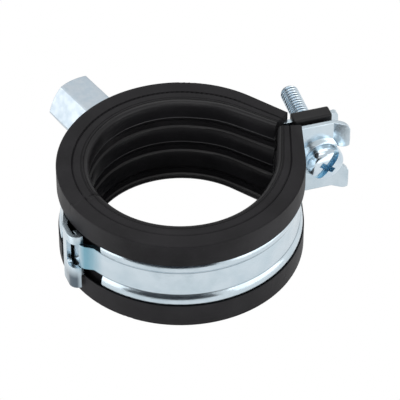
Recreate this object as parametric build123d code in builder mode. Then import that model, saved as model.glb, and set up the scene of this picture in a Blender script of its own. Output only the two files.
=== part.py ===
from build123d import *
from math import cos, degrees, radians, sin, tan
import os

# Hinged, rubber lined pipe clamp with one closing screw and a welded connection nut.
# Frame: origin on the pipe axis at mid width, +Z along the pipe, +X to the closing screw,
# -X to the hinge, +Y to the back, where the connection nut leans a little to the hinge.
# Millimetres.

os.makedirs("parts", exist_ok=True)

# ---- pipe and liner ----
pipe_diameter = 46.3        # in the middle of the clamp's range
liner_wall = 6.1            # rubber between the pipe and the band
liner_width = 27.0
lip_height = 6.6            # height along Z of each lip that grips a band edge
lip_cover = 0.9             # rubber over the band's outer face
lip_relief = 0.66           # the lip's edge opens by this much over the bead
groove_width = 3.4          # sound grooves round the bore
groove_depth = 1.2
groove_spacing = 8.2
rim_line_inset = 4.2        # fine groove in the rim, from the lip's outer face
rim_line_width = 0.5
rim_line_depth = 0.3
bore_edge_round = 1.4
lip_edge_round = 0.4
seam_gap = 0.04             # between the liner halves at the hinge
mouth_reach = 26.0          # the gap between the liner ends is taken here, along +X
mouth_gap = 1.8             # between the liner ends there
front_mouth_angle = 18.0    # the end faces open outwards
rear_mouth_angle = 26.0

# ---- bands ----
band_thickness = 1.25
band_width = 21.4
flat_half_width = 3.6       # flat centre of the band, to each side
bead_width = 4.2
bead_height = 0.65
straight_angle = 25.0       # both halves run straight from here to the closure
bend_radius = 1.7           # at mid thickness
bead_end_gap = 2.6          # from a bead's end to the flange's mid plane

# ---- closure ----
screw_reach = 39.3          # the closing screw's place along the flanges, from the pipe axis
flange_tilt = 13.5          # the flanges turn this much from the radial line
front_flange_level = 6.5    # each flange's mid plane, square to it from the pipe axis
rear_flange_level = 10.0
front_ear_margin = 7.5      # from the screw's axis out to each flange's end
rear_ear_margin = 6.3
ear_bend_margin = 3.7       # and out to the bend of the ears
front_ear_angle = 32.0
rear_ear_angle = 22.0
ear_slot_width = 6.6
ear_round = 2.0
slot_end_clearance = 0.35
dish_radius = 6.2
dish_depth = 0.35

# ---- closing screw ----
screw_diameter = 5.0
screw_length = 26.0
screw_tip_round = 1.0
head_diameter = 9.6
head_height = 3.5
head_rim_height = 1.2
driver_slot_width = 1.3
driver_slot_depth = 1.5
driver_slot_angle = 53.0    # from the flange direction
recess_span = 5.4
recess_blade = 1.1
recess_depth = 2.3
thread_clearance = 0.05
screw_travel = 10.0
travel_per_radian = 80.0    # screw travel that lets the front half open by one radian

# ---- screw retainer ----
retainer_inner_margin = 5.0  # from the screw's axis in towards the pipe
retainer_outer_margin = 2.9  # and outwards
retainer_wall = 1.25
retainer_cap = 1.1
retainer_chamfer = 0.9

# ---- connection nut ----
nut_across_flats = 13.6
nut_angle = 5.2             # from +Y towards the hinge
nut_end_level = 49.6        # along its own axis
nut_edge_round = 0.5
nut_chamfer_angle = 30.0
outer_thread_core = 8.5
outer_thread_depth = 9.0
inner_thread_core = 6.8
thread_countersink = 0.6

# ---- hinge ----
tongue_width = 7.4
tongue_angle = 20.2         # the front band is full width up to here
joggle_angle = 16.0         # the tongue leaves the circle here
joggle_rise_end = 5.2       # where the joggle is back to straight, along -Y
joggle_radius = 2.0
hinge_head_width = 12.0     # the tongue's T head
hinge_head_near = 0.7       # its two ends, along -Y
hinge_head_far = 3.4
hinge_head_level = 31.3     # its mid plane, from the pipe axis along -X
hinge_clearance = 0.3
hood_angle = 16.0           # the hood leaves the rear band's circle here
hood_top = 6.4
hood_start = (-29.3, 6.9)
hood_knee = (-32.8, 1.0)
hood_corner_level = 33.6
hood_lip_level = 30.9       # the hood's turned in edge, between the liner lips
hood_low_lip_level = 31.7   # and beside the lower liner lip
hood_slot_start = 1.2       # the tongue's slot in the hood, along -Y
strip_end_angle = 1.5       # the rear band's upper edge runs on to here
notch_clearance = 0.3

# ---- derived sizes ----
bore_radius = pipe_diameter / 2
band_inner_radius = bore_radius + liner_wall
band_mid_radius = band_inner_radius + band_thickness / 2
band_outer_radius = band_inner_radius + band_thickness
lip_radius = band_outer_radius + lip_cover
front_flange_reach = screw_reach + front_ear_margin
rear_flange_reach = screw_reach + rear_ear_margin
ear_bend_reach = screw_reach + ear_bend_margin
retainer_start = screw_reach - retainer_inner_margin
retainer_end = screw_reach + retainer_outer_margin
half_liner = liner_width / 2
half_band = band_width / 2
lip_start = half_liner - lip_height
bead_end = flat_half_width + bead_width
screw_radius = screw_diameter / 2
tilt = radians(flange_tilt)
hood_wall_level = hinge_head_far + hinge_clearance + band_thickness / 2
hinge_axis = (-hinge_head_level, -(hinge_head_near + hinge_head_far) / 2)
opening_angle = screw_travel / travel_per_radian


def on_circle(radius, angle):
    return (radius * cos(radians(angle)), radius * sin(radians(angle)))


def flange_point(reach, level):
    """A point given along the flanges and square to them, both from the pipe axis."""
    return (reach * cos(tilt) + level * sin(tilt), level * cos(tilt) - reach * sin(tilt))


def flange_plane(level):
    """A plane parallel to the flanges: its x runs out along them, its y along -Z."""
    square_to_it = (sin(tilt), cos(tilt), 0)
    return Plane(origin=(0, 0, 0), x_dir=(cos(tilt), -sin(tilt), 0), z_dir=square_to_it).offset(level)


def closure_corner(side, level):
    """Where the straight run of one half meets its flange's mid plane; side is 1 at the rear."""
    x, y = on_circle(band_mid_radius, side * straight_angle)
    run_x = sin(radians(straight_angle))
    run_y = -side * cos(radians(straight_angle))
    length = (level - x * sin(tilt) - y * cos(tilt)) / (run_x * sin(tilt) + run_y * cos(tilt))
    return Vector(x + run_x * length, y + run_y * length), length


def ear_tip(level, reach, angle):
    return Vector(*flange_point(reach, level + (reach - ear_bend_reach) * tan(radians(angle))))


def bead_section(angle, radius, up):
    """A bead's outline, standing on the face at this radius, in the plane through the axis."""
    with BuildSketch(Plane.XZ.rotated((0, 0, angle))) as section:
        with BuildLine():
            ThreePointArc(
                (radius, up * flat_half_width),
                (radius + bead_height, up * (flat_half_width + bead_width / 2)),
                (radius, up * bead_end),
            )
            Line((radius, up * bead_end), (radius, up * flat_half_width))
        make_face()
    return section.sketch


def liner_section(angle):
    """The liner's section: bore with sound grooves, rims with a fine line, lips over the band."""
    with BuildSketch(Plane.XZ.rotated((0, 0, angle))) as section:
        with BuildLine():
            Polyline(
                (bore_radius, 0),
                (bore_radius, half_liner),
                (lip_radius, half_liner),
                (lip_radius, lip_start),
                (band_outer_radius + lip_relief, lip_start),
                (band_outer_radius, bead_end),
                (band_outer_radius, half_band),
                (band_inner_radius, half_band),
                (band_inner_radius, 0),
                close=True,
            )
        make_face()
        fillet(section.vertices().group_by(Axis.Y)[-1].sort_by(Axis.X)[0], bore_edge_round)
        fillet(section.vertices().group_by(Axis.Y)[-1].sort_by(Axis.X)[-1], lip_edge_round)
        with Locations((lip_radius - rim_line_inset, half_liner)):
            Rectangle(rim_line_width, 2 * rim_line_depth, rotation=45, mode=Mode.SUBTRACT)
        mirror(about=Plane.XZ)
        for level in (-groove_spacing, 0, groove_spacing):
            with BuildLine():
                ThreePointArc(
                    (bore_radius, level - groove_width / 2),
                    (bore_radius + groove_depth, level),
                    (bore_radius, level + groove_width / 2),
                )
                Polyline(
                    (bore_radius, level + groove_width / 2),
                    (bore_radius - 1, level + groove_width / 2),
                    (bore_radius - 1, level - groove_width / 2),
                    (bore_radius, level - groove_width / 2),
                )
            make_face(mode=Mode.SUBTRACT)
    return section.sketch


def add_beads(side, start_angle, arc_angle):
    """Presses both beads into a half: ribs outside, hollows inside, along its arc and its straight run."""
    level = rear_flange_level if side > 0 else front_flange_level
    run_length = closure_corner(side, level)[1] - bead_end_gap
    for up in (-1, 1):
        for radius, mode in ((band_outer_radius, Mode.ADD), (band_inner_radius, Mode.SUBTRACT)):
            revolve(bead_section(start_angle, radius, up), axis=Axis.Z, revolution_arc=arc_angle, mode=mode)
            extrude(bead_section(side * straight_angle, radius, up), amount=side * run_length, mode=mode)


def cut_flange_outline(level, reach, slot_start):
    """Rounds a flange's two ears and cuts the open slot between them."""
    with BuildSketch(flange_plane(level)) as corners:
        with Locations((reach, 0)):
            Rectangle(2 * (reach - ear_bend_reach), 2 * band_width)
        with Locations((reach - band_width, 0)):
            RectangleRounded(2 * band_width, band_width, ear_round, mode=Mode.SUBTRACT)
    extrude(corners.sketch, amount=band_width / 2, both=True, mode=Mode.SUBTRACT)
    slot_length = reach + ear_slot_width - slot_start
    with BuildSketch(flange_plane(level)) as slot:
        with Locations((slot_start + ear_slot_width / 2, 0)):
            Circle(ear_slot_width / 2)
        with Locations((slot_start + ear_slot_width / 2 + slot_length / 2, 0)):
            Rectangle(slot_length, ear_slot_width)
    extrude(slot.sketch, amount=band_width / 4, both=True, mode=Mode.SUBTRACT)


# ---- rear band: the half with the connection nut, flange to hinge hood ----
rear_corner, rear_run = closure_corner(1, rear_flange_level)
with BuildPart() as rear_band:
    with BuildSketch():
        with BuildLine() as sheet:
            CenterArc((0, 0), band_mid_radius, straight_angle, 180 - hood_angle - straight_angle)
            Line(on_circle(band_mid_radius, straight_angle), rear_corner)
            Polyline(
                rear_corner,
                flange_point(ear_bend_reach, rear_flange_level),
                ear_tip(rear_flange_level, rear_flange_reach, rear_ear_angle),
            )
            fillet(sheet.vertices().sort_by_distance(rear_corner)[0], bend_radius)
        trace(line_width=band_thickness)
    extrude(amount=half_band, both=True)
    # the edge that stays under the upper liner lip, on to the hinge
    with BuildSketch(Plane.XY.offset(hood_top + hinge_clearance)):
        with BuildLine():
            CenterArc((0, 0), band_mid_radius, 180 - hood_angle - 2, hood_angle + 2 - strip_end_angle)
        trace(line_width=band_thickness)
    extrude(amount=half_band - hood_top - hinge_clearance)
    # the hood, flared out of the circle and turned in over the other half's T head
    with BuildSketch(Plane.XY.offset(-half_band)):
        with BuildLine() as hood:
            hood_foot = Vector(*on_circle(band_mid_radius, 180 - hood_angle))
            hood_corner = Vector(-hood_corner_level, -hood_wall_level)
            Polyline(hood_foot, hood_start, hood_knee, hood_corner, (-hood_lip_level, -hood_wall_level))
            fillet(hood.vertices().sort_by_distance(hood_start)[0], bend_radius)
            fillet(hood.vertices().sort_by_distance(hood_knee)[0], 2 * bend_radius)
            fillet(hood.vertices().sort_by_distance(hood_corner)[0], bend_radius)
        trace(line_width=band_thickness)
    extrude(amount=half_band + hood_top)
    # the tongue's slot, open at the turned in edge
    with BuildSketch(Plane.YZ.offset(-hood_lip_level)):
        with Locations((-hood_slot_start - hood_wall_level, 0)):
            RectangleRounded(2 * hood_wall_level, tongue_width + 2 * hinge_clearance, ear_round / 2)
    extrude(amount=-half_band, mode=Mode.SUBTRACT)
    with Locations((-hood_low_lip_level + band_width / 2, -hood_wall_level, -half_band)):
        Box(band_width, 2 * band_thickness, 2 * (half_band - lip_start + hinge_clearance), mode=Mode.SUBTRACT)
    add_beads(1, straight_angle, 180 - hood_angle - 2 - straight_angle)
    cut_flange_outline(rear_flange_level, rear_flange_reach, ear_bend_reach)
    with BuildSketch(flange_plane(rear_flange_level)):
        with Locations((screw_reach, 0)):
            Circle(screw_radius + thread_clearance)
    extrude(amount=band_width / 4, both=True, mode=Mode.SUBTRACT)
rear_band.part.label = "rear_band"
export_step(rear_band.part, "parts/rear_band.step")

# ---- front band: the half with the slotted flange, flange to hinge tongue ----
front_corner = closure_corner(-1, front_flange_level)[0]
# how far the flange creeps outwards past the screw while the front half opens
screw_seat = Vector(*flange_point(screw_reach, front_flange_level)) - Vector(*hinge_axis)
opened_seat = screw_seat.rotate(Axis.Z, -degrees(opening_angle))
opening_shift = (opened_seat - screw_seat).dot(Vector(cos(tilt), -sin(tilt)))
with BuildPart() as front_band:
    with BuildSketch():
        with BuildLine() as sheet:
            CenterArc((0, 0), band_mid_radius, -180 + tongue_angle, 180 - tongue_angle - straight_angle)
            Line(on_circle(band_mid_radius, -straight_angle), front_corner)
            Polyline(
                front_corner,
                flange_point(ear_bend_reach, front_flange_level),
                ear_tip(front_flange_level, front_flange_reach, -front_ear_angle),
            )
            fillet(sheet.vertices().sort_by_distance(front_corner)[0], bend_radius)
        trace(line_width=band_thickness)
    extrude(amount=half_band, both=True)
    add_beads(-1, -180 + tongue_angle, 180 - tongue_angle - straight_angle)
    # the tongue, stepped outwards through the hood's slot
    with BuildSketch():
        with BuildLine() as tongue:
            tongue_foot = Vector(*on_circle(band_mid_radius, -180 + joggle_angle))
            rise_start = tongue_foot + Vector(-sin(radians(joggle_angle)), cos(radians(joggle_angle)))
            rise_end = Vector(-hinge_head_level, -joggle_rise_end)
            CenterArc((0, 0), band_mid_radius, -180 + joggle_angle, tongue_angle - joggle_angle + 2)
            Polyline(tongue_foot, rise_start, rise_end, (-hinge_head_level, -hinge_head_near))
            fillet(tongue.vertices().sort_by_distance(rise_start)[0], joggle_radius)
            fillet(tongue.vertices().sort_by_distance(rise_end)[0], joggle_radius)
        trace(line_width=band_thickness)
    extrude(amount=tongue_width / 2, both=True)
    # the T head behind the hood's wall
    with BuildSketch(Plane.YZ.offset(-hinge_head_level - band_thickness / 2)):
        with Locations((-(hinge_head_near + hinge_head_far) / 2, 0)):
            RectangleRounded(hinge_head_far - hinge_head_near, hinge_head_width, band_thickness)
    extrude(amount=band_thickness)
    slot_start = screw_reach - screw_radius - slot_end_clearance - opening_shift
    cut_flange_outline(front_flange_level, front_flange_reach, slot_start)
    with BuildSketch(flange_plane(front_flange_level - band_thickness / 2)):
        with Locations((screw_reach, 0)):
            Circle(dish_radius)
    extrude(amount=dish_depth, taper=70, mode=Mode.SUBTRACT)
front_band.part.label = "front_band"
export_step(front_band.part, "parts/front_band.step")


def make_liner(side, start_angle, mouth_angle):
    """One half of the liner: arc, straight run and slanted end face at the mouth."""
    run_length = 2 * liner_wall + rear_run - bend_radius
    with BuildPart() as half:
        revolve(liner_section(start_angle), axis=Axis.Z, revolution_arc=180 - straight_angle)
        extrude(liner_section(side * straight_angle), amount=side * run_length)
        mouth = Plane(
            origin=(mouth_reach, side * mouth_gap / 2, 0),
            x_dir=(0, 0, 1),
            z_dir=(-sin(radians(mouth_angle)), side * cos(radians(mouth_angle)), 0),
        )
        split(bisect_by=mouth, keep=Keep.TOP)
        split(bisect_by=Plane.XZ.offset(-side * seam_gap / 2), keep=Keep.BOTTOM if side > 0 else Keep.TOP)
    return half.part


# ---- liner: a ribbed rubber strip in each half, meeting at the hinge ----
with BuildPart() as rear_liner:
    add(make_liner(1, straight_angle, rear_mouth_angle))
    # the lower lip is notched where the hood leaves the band's channel
    with BuildSketch(Plane.XY.offset(-half_band - notch_clearance)):
        with BuildLine() as notch:
            notch_end = Vector(-hood_corner_level, -hood_wall_level)
            Polyline(hood_foot, hood_start, hood_knee, notch_end)
            fillet(notch.vertices().sort_by_distance(hood_start)[0], bend_radius)
            fillet(notch.vertices().sort_by_distance(hood_knee)[0], 2 * bend_radius)
        trace(line_width=band_thickness + 2 * notch_clearance)
        with BuildLine():
            Polyline(
                hood_foot,
                hood_start,
                hood_knee,
                (-band_width * 2, hood_knee[1]),
                (-band_width * 2, hood_foot.Y),
                close=True,
            )
        make_face()
    extrude(amount=half_band - lip_start + 2 * notch_clearance, mode=Mode.SUBTRACT)
rear_liner.part.label = "rear_liner"
export_step(rear_liner.part, "parts/rear_liner.step")

with BuildPart() as front_liner:
    add(make_liner(-1, -180, front_mouth_angle))
front_liner.part.label = "front_liner"
export_step(front_liner.part, "parts/front_liner.step")


# ---- connection nut: a hexagon with two thread sizes, welded to the rear band's back ----
with BuildPart() as connection_nut:
    nut_axis = Axis.Y.direction.rotate(Axis.Z, nut_angle)
    nut_side = Axis.X.direction.rotate(Axis.Z, nut_angle)
    nut_plane = Plane(origin=nut_axis * band_inner_radius, x_dir=nut_side, z_dir=nut_axis)
    nut_length = nut_end_level - band_inner_radius
    with BuildSketch(nut_plane) as hexagon:
        RegularPolygon(nut_across_flats / 2, 6, major_radius=False)
        fillet(hexagon.vertices(), nut_edge_round)
    extrude(amount=nut_length)
    with BuildSketch(nut_plane.offset(nut_length)):
        Circle(inner_thread_core / 2)
    extrude(amount=-nut_length, mode=Mode.SUBTRACT)
    with BuildSketch(nut_plane.offset(nut_length)):
        Circle(outer_thread_core / 2)
    extrude(amount=-outer_thread_depth, mode=Mode.SUBTRACT)
    end_face = connection_nut.faces().sort_by(lambda f: f.center().dot(nut_axis))[-1]
    chamfer(end_face.inner_wires()[0].edges(), thread_countersink)
    # the free end's corners are turned off
    turned_radius = nut_across_flats / 2 - thread_countersink / 2
    with BuildSketch(Plane(origin=(0, 0, 0), x_dir=nut_side, z_dir=(0, 0, 1))):
        with BuildLine():
            Polyline(
                (turned_radius, nut_end_level),
                (nut_across_flats, nut_end_level),
                (
                    nut_across_flats,
                    nut_end_level - (nut_across_flats - turned_radius) * tan(radians(nut_chamfer_angle)),
                ),
                close=True,
            )
        make_face()
    revolve(axis=Axis((0, 0, 0), nut_axis), mode=Mode.SUBTRACT)
    # the base is shaped to the band and its beads
    Cylinder(band_outer_radius, band_width, mode=Mode.SUBTRACT)
    for up in (-1, 1):
        revolve(bead_section(0, band_outer_radius, up), axis=Axis.Z, mode=Mode.SUBTRACT)
connection_nut.part.label = "connection_nut"
export_step(connection_nut.part, "parts/connection_nut.step")

# ---- screw retainer: a moulded sleeve round the rear flange that keeps the screw from dropping out ----
along_flange = Plane(origin=(0, 0, 0), x_dir=(cos(tilt), -sin(tilt), 0), z_dir=(0, 0, 1))
with BuildPart() as screw_retainer:
    with BuildSketch(along_flange.offset(-half_band - retainer_cap)) as sleeve:
        with Locations(((retainer_start + retainer_end) / 2, rear_flange_level)):
            Rectangle(retainer_end - retainer_start, band_thickness + 2 * retainer_wall)
        chamfer(sleeve.vertices(), retainer_chamfer)
    extrude(amount=band_width + 2 * retainer_cap)
    with BuildSketch(along_flange.offset(-half_band)):
        with Locations(((retainer_start + retainer_end) / 2, rear_flange_level)):
            Rectangle(2 * (retainer_end - retainer_start), band_thickness)
    extrude(amount=band_width, mode=Mode.SUBTRACT)
    with BuildSketch(flange_plane(rear_flange_level)):
        with Locations((screw_reach, 0)):
            Circle(screw_radius + thread_clearance)
    extrude(amount=band_width, both=True, mode=Mode.SUBTRACT)
screw_retainer.part.label = "screw_retainer"
export_step(screw_retainer.part, "parts/screw_retainer.step")

# ---- closing screw: pan head with a driver slot and a cross recess ----
head_seat_level = front_flange_level - band_thickness / 2 + dish_depth
with BuildPart() as closing_screw:
    with BuildSketch(flange_plane(head_seat_level)):
        with Locations((screw_reach, 0)):
            Circle(screw_radius)
    extrude(amount=screw_length)
    tip_edge = closing_screw.edges().sort_by(lambda e: e.center().dot(flange_plane(0).z_dir))[-1]
    fillet(tip_edge, screw_tip_round)
    with BuildSketch(flange_plane(head_seat_level)):
        with Locations((screw_reach, 0)):
            Circle(head_diameter / 2)
    extrude(amount=-head_height)
    head_top = closing_screw.faces().sort_by(lambda f: f.center().dot(flange_plane(0).z_dir))[0]
    fillet(head_top.edges(), head_height - head_rim_height)
    with BuildSketch(flange_plane(head_seat_level - head_height)):
        with Locations((screw_reach, 0)):
            Rectangle(2 * head_diameter, driver_slot_width, rotation=-driver_slot_angle)
    extrude(amount=driver_slot_depth, mode=Mode.SUBTRACT)
    with BuildSketch(flange_plane(head_seat_level - head_height)):
        with Locations((screw_reach, 0)):
            Rectangle(recess_span, recess_blade, rotation=-driver_slot_angle)
            Rectangle(recess_blade, recess_span, rotation=-driver_slot_angle)
    extrude(amount=recess_depth, taper=12, mode=Mode.SUBTRACT)
closing_screw.part.label = "closing_screw"
export_step(closing_screw.part, "parts/closing_screw.step")
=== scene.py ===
import bmesh
import bpy
from math import atan2, cos, pi, radians, sin
from mathutils import Matrix, Vector


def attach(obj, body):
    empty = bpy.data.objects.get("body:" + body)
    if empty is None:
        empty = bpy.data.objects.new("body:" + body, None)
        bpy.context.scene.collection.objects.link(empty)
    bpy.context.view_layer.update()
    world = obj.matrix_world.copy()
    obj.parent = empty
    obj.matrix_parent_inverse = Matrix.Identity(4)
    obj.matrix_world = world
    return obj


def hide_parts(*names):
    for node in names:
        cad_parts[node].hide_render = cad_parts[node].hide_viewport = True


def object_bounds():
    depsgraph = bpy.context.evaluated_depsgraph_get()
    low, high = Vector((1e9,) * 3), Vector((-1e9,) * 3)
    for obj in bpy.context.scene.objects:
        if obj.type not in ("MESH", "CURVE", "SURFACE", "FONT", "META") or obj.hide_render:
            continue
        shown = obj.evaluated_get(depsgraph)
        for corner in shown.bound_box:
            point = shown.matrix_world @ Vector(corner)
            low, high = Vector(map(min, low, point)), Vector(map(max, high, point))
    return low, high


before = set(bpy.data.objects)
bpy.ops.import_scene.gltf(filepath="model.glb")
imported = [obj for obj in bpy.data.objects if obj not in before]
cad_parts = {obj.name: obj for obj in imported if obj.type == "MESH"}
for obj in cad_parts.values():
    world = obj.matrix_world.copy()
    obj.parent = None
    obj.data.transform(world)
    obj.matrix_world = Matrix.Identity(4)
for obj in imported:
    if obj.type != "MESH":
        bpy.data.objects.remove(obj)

solids_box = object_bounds()


# The liner is one strip of black rubber with sound grooves in its bore, extruded and cut to
# length, and pushed over the edges of both steel halves. The closed clamp squeezes its ends.
class Level:
    """A shader socket that takes part in plain arithmetic."""

    def __init__(self, tree, socket):
        self.tree = tree
        self.socket = socket

    def worked(self, operation, *values):
        node = self.tree.nodes.new("ShaderNodeMath")
        node.operation = operation
        for number, value in enumerate(values):
            if isinstance(value, Level):
                self.tree.links.new(value.socket, node.inputs[number])
            else:
                node.inputs[number].default_value = value
        return Level(self.tree, node.outputs[0])

    def __add__(self, other):
        return self.worked("ADD", self, other)

    __radd__ = __add__

    def __mul__(self, other):
        return self.worked("MULTIPLY", self, other)

    __rmul__ = __mul__

    def __sub__(self, other):
        return self.worked("SUBTRACT", self, other)

    def __rsub__(self, other):
        return self.worked("SUBTRACT", other, self)

    def __truediv__(self, other):
        return self.worked("DIVIDE", self, other)

    def __rtruediv__(self, other):
        return self.worked("DIVIDE", other, self)

    def __neg__(self):
        return self.worked("SUBTRACT", 0.0, self)

    def __abs__(self):
        return self.worked("ABSOLUTE", self)

    def spread(self, low, high):
        """Stretches the part between low and high over 0 to 1 and cuts off the rest."""
        span = (self - low) / (high - low)
        return span.worked("MINIMUM", span.worked("MAXIMUM", span, 0.0), 1.0)


class Wiring:
    """The shader nodes of one surface, or of the light all round."""

    def __init__(self, tree):
        self.tree = tree

    def node(self, kind, settings=None, sockets=None, output=0):
        """Adds a node: its settings first, then a value or a link for each socket named."""
        node = self.tree.nodes.new(kind)
        for name, value in (settings or {}).items():
            setattr(node, name, value)
        for name, value in (sockets or {}).items():
            if isinstance(value, Level):
                self.tree.links.new(value.socket, node.inputs[name])
            else:
                node.inputs[name].default_value = value
        return Level(self.tree, node.outputs[output]) if node.outputs else node


class Finish(Wiring):
    """The finish of one kind of surface, worked out from its place on the clamp in metres."""

    def __init__(self, name, **constants):
        self.material = bpy.data.materials.new(name)
        self.material.use_nodes = True
        super().__init__(self.material.node_tree)
        self.shader = self.tree.nodes["Principled BSDF"]
        for socket, value in constants.items():
            self.shader.inputs[socket.replace("_", " ")].default_value = value
        self.place = self.node("ShaderNodeTexCoord", output="Object")
        axes = self.node("ShaderNodeSeparateXYZ", None, {0: self.place}).socket.node.outputs
        self.east, self.north, self.up = (Level(self.tree, socket) for socket in axes)

    def grain(self, size, detail=3.0, place=None, roughness=0.5):
        """Noise whose blotches are about this many metres across."""
        sockets = {"Vector": place or self.place, "Scale": 1.0 / size}
        sockets |= {"Detail": detail, "Roughness": roughness}
        return self.node("ShaderNodeTexNoise", {"noise_dimensions": "3D"}, sockets, "Fac")

    def tint(self, amount, first, second):
        """A colour between two, given as colours or as sockets."""
        sockets = {0: amount, 6: (*first, 1.0) if isinstance(first, tuple) else first}
        sockets[7] = (*second, 1.0) if isinstance(second, tuple) else second
        return self.node("ShaderNodeMix", {"data_type": "RGBA"}, sockets, 2)

    def relief(self, height, depth, base=None):
        """A bump of this depth in metres; base is the bump or the rounded edge under it."""
        sockets = {"Height": height, "Distance": depth, "Strength": 1.0}
        if base:
            sockets["Normal"] = base
        return self.node("ShaderNodeBump", None, sockets, "Normal")

    def soft_edge(self, radius):
        """The light catching round of an edge that was deburred or moulded."""
        return self.node("ShaderNodeBevel", {"samples": 6}, {"Radius": radius}, "Normal")

    def feed(self, **links):
        for socket, value in links.items():
            self.tree.links.new(value.socket, self.shader.inputs[socket.replace("_", " ")])
        return self.material


groove_spacing = 0.0082
groove_width = 0.0034
groove_drop = 0.0016
groove_top = groove_spacing + groove_width / 2 - groove_drop
# width and core of the painted highlight line on the groove edges
edge_highlight_width = 0.00026
edge_highlight_core = 0.00008
lip_rounding = 0.0012
bore_start = 0.83
bore_full = 0.87
die_line_depth = 0.77
die_line_core = 0.008
die_line_edge = 0.034
rubber_dark = (0.0160, 0.0154, 0.0170)
rubber_light = (0.0262, 0.0253, 0.0278)
# painted shade, for the die line's groove and the bore
rubber_painted_shade = (0.004, 0.004, 0.0045)
rubber_speck = (0.045, 0.045, 0.048)
# painted highlight colour for the groove edges
rubber_painted_highlight = (0.16, 0.16, 0.168)

rubber = Finish("liner_rubber", Specular_IOR_Level=0.11, Coat_Roughness=0.22)
bloom = rubber.grain(0.011, 4.0).spread(0.38, 0.72)
specks = rubber.grain(0.00045, 2.0).spread(0.64, 0.80)
skin = rubber.grain(0.00030, 3.0)
drag = rubber.grain(0.0035, 3.0)
# depth is 0 at the lip's outer face and 1 in the bore, and the die leaves the bore smooth
depth = rubber.node("ShaderNodeAttribute", {"attribute_name": "rim_depth"}, None, "Fac")
smooth_bore = depth.spread(bore_start, bore_full)
die_line = abs(depth - die_line_depth).spread(die_line_core, die_line_edge)
# below is the distance under the last groove's upper edge; each lower edge is well rounded,
# and the upper ones get a painted highlight line, all but the lowest
below = groove_top - rubber.up
below = below.worked("FLOORED_MODULO", below, groove_spacing)
groove_edge_highlight = below.spread(groove_spacing - edge_highlight_width, groove_spacing - edge_highlight_core)
groove_edge_highlight = groove_edge_highlight * smooth_bore * rubber.up.spread(-groove_spacing, 0.0)
fall = 1.0 - below.spread(groove_width, 2 * groove_width)
rounded_lip = 1.0 - fall * fall * below.spread(0.0001, groove_width / 2) * smooth_bore
rubber_colour = rubber.tint(bloom, rubber_dark, rubber_light)
rubber_colour = rubber.tint(specks * 0.5, rubber_colour, rubber_speck)
# painted shade: dark along the die line's fine groove
rubber_colour = rubber.tint(0.35 + die_line * 0.65, rubber_painted_shade, rubber_colour)
# painted shade: the whole bore is painted darker
rubber_colour = rubber.tint(smooth_bore * 0.35, rubber_colour, rubber_painted_shade)
# painted highlight along the upper groove edges
rubber_colour = rubber.tint(groove_edge_highlight * 0.8, rubber_colour, rubber_painted_highlight)
rubber_form = rubber.relief(die_line, 0.0002, rubber.relief(rounded_lip, lip_rounding))
rubber.feed(
    Base_Color=rubber_colour,
    Roughness=0.42 - smooth_bore * 0.16 + bloom * 0.06 + drag * 0.08,
    Coat_Weight=smooth_bore * 0.30,
    Normal=rubber.relief(skin, 0.00003, rubber.relief(drag, 0.00008, rubber_form)),
)

straight_angle = radians(25.0)
press_angle = radians(50.0)
lip_radius = 0.0314
liner_depth = 0.00825
half_liner = 0.0135
run_end = 0.005
seam_gap = 0.0001
merge_gap = 0.000002


def own_copy(node, material):
    """A copy of a solid's mesh with its triangles joined up, for the scene to shape."""
    copy = bpy.data.objects.new(node + "_shaped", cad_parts[node].data.copy())
    bpy.context.scene.collection.objects.link(copy)
    copy.data.materials.clear()
    copy.data.materials.append(material)
    shape = bmesh.new()
    shape.from_mesh(copy.data)
    bmesh.ops.remove_doubles(shape, verts=shape.verts, dist=merge_gap)
    bmesh.ops.recalc_face_normals(shape, faces=shape.faces)
    shape.to_mesh(copy.data)
    shape.free()
    return copy


def smoothed(piece, angle):
    """Leaves only this piece selected, with its edges under this many degrees smooth."""
    bpy.ops.object.select_all(action="DESELECT")
    piece.select_set(True)
    bpy.context.view_layer.objects.active = piece
    bpy.ops.object.shade_smooth_by_angle(angle=radians(angle))


def fitted(piece, body, node):
    """Puts a finished piece on its body, in the place of its solid."""
    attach(piece, body)
    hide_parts(node)


def pressed_liner(node, body, side, thinned, bulged, drawn_inside, drawn_outside):
    """A liner half whose end the closure squeezes thinner and longer, corner by corner."""
    half = own_copy(node, rubber.material)
    shape = bmesh.new()
    shape.from_mesh(half.data)
    rim_depth = shape.verts.layers.float.new("rim_depth")
    run_out = Vector((cos(straight_angle), side * sin(straight_angle), 0))
    run_on = Vector((sin(straight_angle), -side * cos(straight_angle), 0))
    for corner in shape.verts:
        place = corner.co.copy()
        turn = abs(atan2(place.y, place.x))
        on_run = turn < straight_angle
        outwards = run_out if on_run else Vector((place.x, place.y, 0)).normalized()
        share = (lip_radius - place.dot(outwards)) / liner_depth
        corner[rim_depth] = share
        pressed = max(0.0, 1.0 - turn / press_angle)
        height = (place.z + half_liner) / (2 * half_liner)
        if share > 0.9 and abs(place.z) < groove_spacing + groove_width:
            corner.co.z -= groove_drop
        corner.co += outwards * pressed * (bulged * pressed + share * thinned * height)
        if place.dot(run_on) > run_end:
            corner.co += run_on * (drawn_outside + (drawn_inside - drawn_outside) * share)
        if place.x < 0 and abs(place.y) < seam_gap:
            corner.co.y = 0.0
    shape.to_mesh(half.data)
    shape.free()
    smoothed(half, 30)
    evened = half.modifiers.new("evened", "WEIGHTED_NORMAL")
    evened.keep_sharp = True
    bpy.ops.object.modifier_apply(modifier=evened.name)
    fitted(half, body, node)


pressed_liner("rear_liner", "rear_half", 1, 0.0026, 0.0, 0.00145, 0.00155)
pressed_liner("front_liner", "front_half", -1, 0.0022, 0.0008, 0.0013, 0.0)


# The two halves are roll formed from zinc plated steel strip, with two beads pressed along
# each; their flanges, ears, tongue and hood are cut and bent from the same strip.
bead_foot = 0.0036
bead_foot_width = 0.00022
band_face = 0.0305
# painted shade colour, for the creases, the hood's foot and the thread's foot
painted_shade_zinc = (0.10, 0.13, 0.16)
# painted blue reflection, for the tongue's bend
painted_reflection_zinc = (0.15, 0.38, 0.49)


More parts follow.
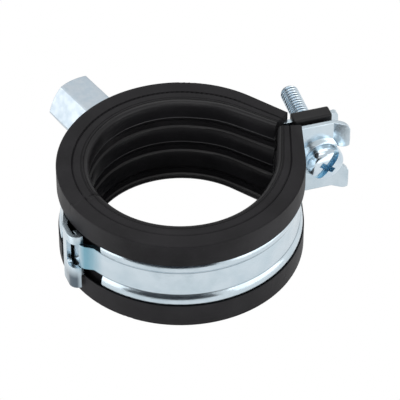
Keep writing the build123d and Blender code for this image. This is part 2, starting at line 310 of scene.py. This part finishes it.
def zinc_finish(name, light, dark, roughness, blotch, painted_shade=None, brush=1.0, painted_reflection=None):
    """Bright zinc plate: cloudy, brushed along the clamp's round, with fine crystals, with
    painted shade where the shade mask says so and a painted blue reflection where the other
    mask does."""
    zinc = Finish(name, Metallic=1.0)
    cloud = zinc.grain(blotch, 4.0, roughness=0.55).spread(0.38, 0.64)
    crystal = zinc.grain(0.0005, 3.0)
    turn = zinc.east.worked("ARCTAN2", zinc.north, zinc.east)
    drawn_out = zinc.node("ShaderNodeCombineXYZ", None, {"X": turn * 0.004, "Y": zinc.up})
    brushed = zinc.grain(0.00022, 2.0, drawn_out)
    colour = zinc.tint(cloud, light, dark)
    colour = zinc.tint(crystal.spread(0.35, 0.75) * 0.35, colour, light)
    # painted shade where the shade mask asks for it
    if painted_shade:
        colour = zinc.tint(painted_shade(zinc), colour, painted_shade_zinc)
    # painted blue reflection where the other mask asks for it
    if painted_reflection:
        colour = zinc.tint(painted_reflection(zinc), colour, painted_reflection_zinc)
    brush_marks = zinc.relief(brushed, 0.000008 * brush, zinc.soft_edge(0.00022))
    zinc.feed(
        Base_Color=colour,
        Roughness=roughness + cloud * 0.08 + brushed * (0.08 * brush),
        Normal=zinc.relief(crystal, 0.000012 * brush, brush_marks),
    )
    return zinc.material


def past_hinge(zinc):
    """The turn about the clamp's axis, from the hinge towards the front."""
    return zinc.up.worked("ARCTAN2", -zinc.north, -zinc.east)


def strip_painted_shade(zinc):
    """Painted shade: a dark line where each bead rises from the strip's flat centre, and the
    hood's foot.
    """
    off_line = abs(abs(zinc.up) - bead_foot) / bead_foot_width
    in_plan = zinc.node(
        "ShaderNodeVectorMath", {"operation": "MULTIPLY"}, {0: zinc.place, 1: (1, 1, 0)}
    )
    radius = zinc.node("ShaderNodeVectorMath", {"operation": "LENGTH"}, {0: in_plan}, "Value")
    on_round = 1.0 - radius.spread(band_face + 0.0002, band_face + 0.0005)
    crease_shade = (1.0 - off_line.spread(0.0, 1.0)) * on_round * 0.75
    turn = past_hinge(zinc)
    on_hood = turn.spread(radians(-3), radians(5)) * (1.0 - turn.spread(radians(8), radians(9)))
    hood_foot_shade = on_hood * (-zinc.up).spread(0.0046, 0.0075) * 0.95
    return crease_shade.worked("MAXIMUM", crease_shade, hood_foot_shade)


def tongue_painted_reflection(zinc):
    """A painted blue reflection where the tongue is bent."""
    turn = past_hinge(zinc)
    bend = turn.spread(radians(7), radians(11)) * (1.0 - turn.spread(radians(12), radians(20)))
    return bend * (1.0 - abs(zinc.up).spread(0.0042, 0.0060)) * 0.85


strip_zinc = zinc_finish(
    "zinc_plated_strip", (0.65, 0.745, 0.81), (0.56, 0.67, 0.74), 0.14, 0.006, strip_painted_shade,
    painted_reflection=tongue_painted_reflection,
)
flange_tilt = radians(13.5)
flange_out = Vector((cos(flange_tilt), -sin(flange_tilt), 0))
flange_up = Vector((sin(flange_tilt), cos(flange_tilt), 0))
# x runs out along the flanges, y square to them and z along the pipe
along_flange = Matrix((flange_out, flange_up, (0, 0, 1))).transposed().to_4x4()
ear_slot = 0.0033
ear_corner = 0.0021
ear_over = 0.0006


def start(name):
    """Names the primitive just added and goes into edit mode on it."""
    bpy.context.object.name = name
    bpy.ops.object.mode_set(mode="EDIT")
    return bpy.context.object


def done(thing):
    bpy.ops.object.mode_set(mode="OBJECT")
    return thing


def applied(thing, kind, **settings):
    """Adds a modifier with these settings and applies it."""
    bpy.ops.object.select_all(action="DESELECT")
    thing.select_set(True)
    bpy.context.view_layer.objects.active = thing
    modifier = thing.modifiers.new(kind.lower(), kind)
    for name, value in settings.items():
        setattr(modifier, name, value)
    bpy.ops.object.modifier_apply(modifier=modifier.name)
    return thing


def cut_out(thing, cutter, operation="DIFFERENCE", finish="INDEX"):
    """Cuts a shape out of a piece; finish TRANSFER leaves the cutter's material in the cut."""
    settings = {"operation": operation, "object": cutter, "solver": "EXACT"}
    applied(thing, "BOOLEAN", material_mode=finish, **settings)
    bpy.data.objects.remove(cutter)
    return thing


def drawn(name, outline):
    """Draws an outline in the plane of x and z, stroke by stroke, from its first point."""
    bpy.ops.object.select_all(action="DESELECT")
    bpy.ops.mesh.primitive_plane_add(size=0.001, location=(0, 0, 0))
    thing = start(name)
    bpy.ops.mesh.merge(type="CENTER")
    bpy.ops.transform.translate(value=(outline[0][0], 0, outline[0][1]))
    for before, after in zip(outline, outline[1:]):
        step = (after[0] - before[0], 0, after[1] - before[1])
        bpy.ops.mesh.extrude_region_move(TRANSFORM_OT_translate={"value": step})
    return thing


def closed_up():
    """Joins the doubles of the mesh in edit mode and turns its faces outwards."""
    bpy.ops.mesh.select_all(action="SELECT")
    bpy.ops.mesh.remove_doubles(threshold=merge_gap)
    bpy.ops.mesh.normals_make_consistent(inside=False)


def rounded_ears(node, body, reach, low, high):
    """A band half whose ears are also rounded beside the open slot."""
    band = own_copy(node, strip_zinc)
    for side in (-1, 1):
        outline = [(reach + ear_over, ear_slot - ear_over)]
        outline += [(reach + ear_over, ear_slot + ear_corner)]
        for part in range(7):
            lean = radians(15 * part)
            across_slot = ear_slot + ear_corner * (1 - sin(lean))
            outline += [(reach - ear_corner * (1 - cos(lean)), across_slot)]
        outline += [(reach - ear_corner, ear_slot - ear_over)]
        outline = [(out, side * off) for out, off in outline]
        cutter = drawn("ear_cutter", outline + outline[:1])
        closed_up()
        bpy.ops.mesh.edge_face_add()
        bpy.ops.transform.translate(value=(0, low, 0))
        bpy.ops.mesh.extrude_region_move(TRANSFORM_OT_translate={"value": (0, high - low, 0)})
        closed_up()
        done(cutter)
        cutter.data.uv_layers.remove(cutter.data.uv_layers.active)  # or the band would get it
        cutter.data.transform(along_flange)
        cut_out(band, cutter)
    smoothed(band, 8)
    fitted(band, body, node)


rounded_ears("rear_band", "rear_half", 0.0456, 0.0085, 0.0135)
rounded_ears("front_band", "front_half", 0.0468, 0.0005, 0.0080)


# The connection nut is a cold formed hexagon with two thread sizes one behind the other,
# welded to the back of the rear half and plated with it.
nut_zinc = zinc_finish(
    "zinc_plated_nut", (0.575, 0.645, 0.705), (0.47, 0.555, 0.625), 0.26, 0.0020
)
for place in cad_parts["connection_nut"].material_slots:
    place.material = nut_zinc


# The retainer is a thin moulded sleeve of black plastic, pushed over the rear flange, so that
# the loosened screw can't drop out.
screw_reach = 0.0399
rear_flange_level = 0.010
strip_thickness = 0.00125
strip_width = 0.0214
sleeve_start = 0.0328
sleeve_end = 0.0432
sleeve_wall = 0.00125
sleeve_cap = 0.0011
sleeve_edge = 0.0007
shank_bore = 0.00255


def block(name, length, thickness, height, middle=0.0, level=0.0):
    """A block with its length along x; middle and level are its place in x and y."""
    bpy.ops.object.select_all(action="DESELECT")
    bpy.ops.mesh.primitive_cube_add(size=1.0)
    thing = start(name)
    bpy.ops.transform.resize(value=(length, thickness, height))
    bpy.ops.transform.translate(value=(middle, level, 0))
    return done(thing)


sleeve_length = sleeve_end - sleeve_start
sleeve_place = ((sleeve_start + sleeve_end) / 2, rear_flange_level)
sleeve_thickness = strip_thickness + 2 * sleeve_wall
sleeve_height = strip_width + 2 * sleeve_cap
sleeve = block(
    "screw_retainer_sleeve", sleeve_length, sleeve_thickness, sleeve_height, *sleeve_place
)
applied(sleeve, "BEVEL", width=sleeve_edge, segments=3, profile=0.6)
flange_sizes = (2 * sleeve_length, strip_thickness, strip_width)
cut_out(sleeve, block("flange_cutter", *flange_sizes, *sleeve_place))
bpy.ops.object.select_all(action="DESELECT")
bpy.ops.mesh.primitive_cylinder_add(
    vertices=48, radius=shank_bore, depth=4 * rear_flange_level
)
bore_cutter = bpy.context.object
bore_cutter.data.transform(Matrix.Rotation(pi / 2, 4, "X"))
bore_cutter.data.transform(Matrix.Translation((screw_reach, rear_flange_level, 0)))
cut_out(sleeve, bore_cutter)
sleeve.data.transform(along_flange)
smoothed(sleeve, 40)
plastic = Finish("retainer_plastic", Specular_IOR_Level=0.26)
flow = plastic.grain(0.003, 3.0)
plastic.feed(
    Base_Color=plastic.tint(flow, (0.006, 0.006, 0.007), (0.012, 0.012, 0.013)),
    Roughness=0.36 + flow * 0.12,
    Normal=plastic.relief(plastic.grain(0.0004, 2.0), 0.00002),
)
sleeve.data.materials.append(plastic.material)
fitted(sleeve, "rear_half", "screw_retainer")


# The closing screw is a pan head machine screw of zinc plated steel with a driver slot and a
# cross recess; its rolled thread turns in the rear flange.
head_seat = 0.00490
screw_length = 0.0286
thread_pitch = 0.001
thread_crest = 0.00249
thread_root = 0.00188
thread_turns = 32
tip_round = 0.0011
head_radius = 0.0050
head_height = 0.0037
head_rim = 0.0012
head_edge = 0.00015
head_fullness = 0.55
driver_turn = radians(-53.0)
slot_width = 0.0020
slot_depth = 0.0015
recess_span = 0.0054
recess_blade = 0.0017
recess_depth = 0.0024
recess_foot = 0.62


def turned(name, outline, **winding):
    """Turns an outline, given as points of radius and level, about the screw's axis."""
    thing = done(drawn(name, outline))
    smooth_round = {"steps": 56, "render_steps": 56, "use_merge_vertices": True}
    applied(thing, "SCREW", merge_threshold=0.000001, **smooth_round, **winding)
    bpy.ops.object.mode_set(mode="EDIT")
    closed_up()
    return done(thing)


thread_outline = [(thread_root, -1.5), (thread_root, -1.44), (thread_crest, -1.14)]
thread_outline += [(thread_crest, -1.0), (thread_root, -0.7), (thread_root, -0.5)]
screw = turned(
    "closing_screw_threaded",
    [(radius, turns * thread_pitch) for radius, turns in thread_outline],
    screw_offset=thread_pitch,
    iterations=thread_turns,
)
bpy.ops.object.mode_set(mode="EDIT")
for level, side in ((-head_rim / 3, -1), (screw_length + thread_pitch / 2, 1)):
    bpy.ops.mesh.select_all(action="SELECT")
    bpy.ops.mesh.bisect(
        plane_co=(0, 0, level), plane_no=(0, 0, side), use_fill=True, clear_outer=True
    )
bpy.ops.mesh.select_all(action="SELECT")
bpy.ops.mesh.normals_make_consistent(inside=False)
done(screw)
blank_radius = 1.2 * thread_crest
tip_outline = [(0, -head_rim), (blank_radius, -head_rim)]
tip_outline += [(blank_radius, screw_length - tip_round)]
for part in range(7):
    lean = radians(15 * part)
    radius = thread_crest - tip_round * (1 - cos(lean))
    tip_outline += [(radius, screw_length - tip_round * (1 - sin(lean)))]
tip_outline += [(0, screw_length)]
cut_out(screw, turned("tip_cutter", tip_outline), "INTERSECT")

head_outline = [(0, 0), (head_radius - head_edge, 0), (head_radius, -head_edge)]
for part in range(13):
    lean = radians(7.5 * part)
    level = -head_rim - (head_height - head_rim) * sin(lean)
    radius = head_radius * cos(lean) ** head_fullness if part < 12 else 0
    head_outline += [(radius, level)]
head = turned("screw_head", head_outline)


def thread_painted_shade(zinc):
    """Painted shade at the foot of the thread."""
    out = zinc.east * cos(flange_tilt) - zinc.north * sin(flange_tilt) - screw_reach
    square = zinc.east * sin(flange_tilt) + zinc.north * cos(flange_tilt)
    radius = out.worked("SQRT", out * out + zinc.up * zinc.up)
    in_thread = 1.0 - radius.spread(thread_root + 0.0001, thread_crest - 0.0001)
    return in_thread * square.spread(head_seat, head_seat + 0.0002)


screw_brush = 0.25
screw_zinc = zinc_finish(
    "zinc_plated_screw", (0.70, 0.80, 0.87), (0.58, 0.69, 0.78), 0.13, 0.003,
    thread_painted_shade, screw_brush,
)
# painted shade in the driver's recess: darker and bluer than the head
recess_painted_shade_zinc = zinc_finish(
    "zinc_recess_painted_shade", (0.50, 0.71, 0.83), (0.29, 0.48, 0.62), 0.24, 0.0012,
    brush=screw_brush,
)
screw.data.materials.append(screw_zinc)
head.data.materials.append(screw_zinc)


def picked(thing, test):
    """Selects only the corners whose place passes the test."""
    bpy.ops.mesh.select_mode(type="VERT")
    bpy.ops.mesh.select_all(action="DESELECT")
    for corner in bmesh.from_edit_mesh(thing.data).verts:
        if test(corner.co):
            corner.select_set(True)
    bmesh.update_edit_mesh(thing.data)


def recess(length, width, depth, foot, turn):
    """A cutter for one blade of the driver's recess, narrower at its foot."""
    blade = block("recess_cutter", length, width, 2 * depth)
    blade.data.transform(Matrix.Translation((0, 0, -head_height)))
    bpy.context.view_layer.objects.active = blade
    bpy.ops.object.mode_set(mode="EDIT")
    picked(blade, lambda at: at.z > -head_height + depth / 2)
    bpy.ops.transform.resize(value=(foot, 0.8, 1), center_override=(0, 0, 0))
    done(blade)
    blade.data.transform(Matrix.Rotation(turn, 4, "Z"))
    blade.data.materials.append(recess_painted_shade_zinc)
    return blade


for blade in (
    recess(3 * head_radius, slot_width, slot_depth, 1.0, driver_turn),
    recess(recess_span, recess_blade, recess_depth, recess_foot, driver_turn + pi / 2),
    recess(recess_span, recess_blade, recess_depth, recess_foot, driver_turn),
):
    cut_out(head, blade, finish="TRANSFER")
bpy.ops.object.select_all(action="DESELECT")
head.select_set(True)
screw.select_set(True)
bpy.context.view_layer.objects.active = screw
bpy.ops.object.join()
upright_screw = Matrix((flange_out, (0, 0, -1), flange_up)).transposed().to_4x4()
screw_foot = flange_out * screw_reach + flange_up * head_seat
screw.data.transform(Matrix.Translation(screw_foot) @ upright_screw)
smoothed(screw, 35)
fitted(screw, "screw", "closing_screw")


# The screw's seat is pressed up from the front flange round its open slot, so it is of the
# same plated strip.
seat_bore = 0.0023
seat_foot = 0.0016
seat_slot = 0.0066
seat_outline = [(seat_bore, seat_foot), (seat_bore, 0), (0.0044, 0), (0.0050, 0.00014)]
seat_outline += [(0.0055, 0.00048), (0.0059, 0.00085), (0.0063, 0.00105), (0.0063, seat_foot)]
seat = turned("screw_seat", seat_outline + seat_outline[:1])
cut_out(seat, block("seat_slot_cutter", 0.02, seat_slot, 0.01, 0.01))
seat.data.transform(Matrix.Translation(screw_foot) @ upright_screw)
smoothed(seat, 50)
seat.data.materials.append(strip_zinc)
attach(seat, "front_half")


# The studio is a pale floor and soft light from a few large panels; the camera stands in
# front of the hinge side and looks down on the clamp.
white = (1, 1, 1, 1)
floor_grey = (0.88, 0.88, 0.88, 1)
air_strength = 0.30
floor_mirrored = 0.75
air_mirrored = 0.62


def panel(name, place, width, height, brightness):
    """A soft light panel that faces the clamp; brightness 1 is white."""
    lamp = bpy.data.lights.new(name, "AREA")
    lamp.shape = "RECTANGLE"
    lamp.size = width
    lamp.size_y = height
    lamp.energy = brightness * pi * width * height
    holder = bpy.data.objects.new(name, lamp)
    bpy.context.scene.collection.objects.link(holder)
    holder.location = place
    holder.rotation_euler = (-Vector(place)).to_track_quat("-Z", "Y").to_euler()
    return holder


def whitened(wiring, plain, mirrored, target):
    """Shows the studio's plain surface or light as white to the camera, also through glass,
    and as this share of white in reflections."""
    camera_ray = wiring.node("ShaderNodeLightPath", output="Is Camera Ray")
    rays = camera_ray.socket.node.outputs
    passed, glossy = (
        Level(wiring.tree, rays[name]) for name in ("Is Transmission Ray", "Is Glossy Ray")
    )
    seen = camera_ray.worked("MAXIMUM", camera_ray, passed)
    seen = seen.worked("MAXIMUM", seen, glossy * mirrored)
    bright = wiring.node("ShaderNodeEmission", None, {"Color": white})
    mixed = wiring.node("ShaderNodeMixShader", None, {0: seen, 1: plain, 2: bright})
    wiring.node(target, None, {0: mixed})


bpy.ops.object.select_all(action="DESELECT")
bpy.ops.mesh.primitive_plane_add(size=6.0, location=(0, 0, solids_box[0].z))
floor = bpy.context.object
floor.name = "floor"
floor_paint = bpy.data.materials.new("floor_paint")
floor_paint.use_nodes = True
floor_paint.node_tree.nodes.clear()
floor_wiring = Wiring(floor_paint.node_tree)
paint = floor_wiring.node("ShaderNodeBsdfDiffuse", None, {"Color": floor_grey})
whitened(floor_wiring, paint, floor_mirrored, "ShaderNodeOutputMaterial")
floor.data.materials.append(floor_paint)

studio = bpy.data.worlds.new("studio")
bpy.context.scene.world = studio
studio.use_nodes = True
studio.node_tree.nodes.clear()
studio_wiring = Wiring(studio.node_tree)
air = studio_wiring.node(
    "ShaderNodeBackground", None, {"Color": white, "Strength": air_strength}
)
whitened(studio_wiring, air, air_mirrored, "ShaderNodeOutputWorld")

panel("softbox_top", (0.05, 0.20, 0.85), 0.8, 0.8, 1.35)
panel("softbox_left", (-0.60, 0.17, 0.15), 0.72, 0.32, 1.35)
panel("softbox_right", (0.30, -0.56, 0.15), 0.42, 0.28, 1.9)
panel("softbox_front", (-0.28, -0.48, 0.80), 0.5, 0.30, 1.7)
fill = panel("softbox_fill", (-0.38, -0.62, 0.14), 0.8, 0.36, 1.6)
fill.visible_glossy = False

# cards on the floor that only reflections show: dark and bright ones in front give the
# polished steel its contrast, and one under the bore keeps the floor out of its reflections
card_near = 0.054
card_far = 0.22
card_rise = 0.085
card_lift = 0.0002
bore_card_radius = 0.0228


def laid_down(card, paint):
    """Lays a card on the floor, where only reflections show it."""
    card.data.transform(Matrix.Translation((0, 0, solids_box[0].z + card_lift)))
    card.visible_camera = False
    card.visible_diffuse = False
    card.visible_shadow = False
    card.data.materials.append(paint.material)


def fan_card(name, direction, width, spread, paint):
    """A card that widens and rises away from the clamp in this direction."""
    bpy.ops.object.select_all(action="DESELECT")
    bpy.ops.mesh.primitive_plane_add(size=1.0, location=(0, 0, 0))
    card = start(name)
    bpy.ops.transform.resize(value=(card_far - card_near, width, 1))
    bpy.ops.transform.translate(value=((card_far + card_near) / 2, 0, 0))
    picked(card, lambda at: at.x > (card_far + card_near) / 2)
    bpy.ops.transform.resize(value=(1, spread, 1), center_override=(0, 0, 0))
    bpy.ops.transform.translate(value=(0, 0, card_rise))
    done(card)
    card.data.transform(Matrix.Rotation(radians(direction), 4, "Z"))
    laid_down(card, paint)


dark_paint = Finish(
    "dark_card_paint", Base_Color=(0.03, 0.035, 0.045, 1), Specular_IOR_Level=0.0
)
bright_paint = Finish(
    "bright_card_paint",
    Base_Color=(0.8, 0.8, 0.8, 1),
    Specular_IOR_Level=0.0,
    Emission_Color=white,
    Emission_Strength=1.1,
)
fan_card("front_card", -128, 0.070, 3.4, dark_paint)
fan_card("left_card", 176, 0.050, 2.6, bright_paint)
fan_card("right_card", -64, 0.040, 3.0, bright_paint)
bpy.ops.object.select_all(action="DESELECT")
bpy.ops.mesh.primitive_circle_add(
    vertices=64, radius=bore_card_radius, fill_type="NGON", location=(0, 0, 0)
)
bpy.context.object.name = "bore_card"
laid_down(bpy.context.object, dark_paint)

view_azimuth = radians(-30.5)
view_elevation = radians(42.1)
view_distance = 0.70
framed_across = 0.00486
framed_up = 0.00033
picture_pixels = 400.0
pixels_per_metre = 3930.0
sensor_width = 36.0
ground = Vector((sin(view_azimuth), -cos(view_azimuth), 0))
sight = ground * cos(view_elevation) + Vector((0, 0, sin(view_elevation)))
across = Vector((cos(view_azimuth), sin(view_azimuth), 0))
framed = across * framed_across + sight.cross(across) * framed_up
camera_data = bpy.data.cameras.new("camera")
camera_data.sensor_width = sensor_width
camera_data.lens = sensor_width * pixels_per_metre * view_distance / picture_pixels
camera_data.clip_start = 0.01
camera_data.clip_end = 10.0
camera = bpy.data.objects.new("camera", camera_data)
bpy.context.scene.collection.objects.link(camera)
camera.location = framed + sight * view_distance
camera.rotation_euler = sight.to_track_quat("Z", "Y").to_euler()
bpy.context.scene.camera = camera
bpy.context.scene.view_settings.view_transform = "Standard"
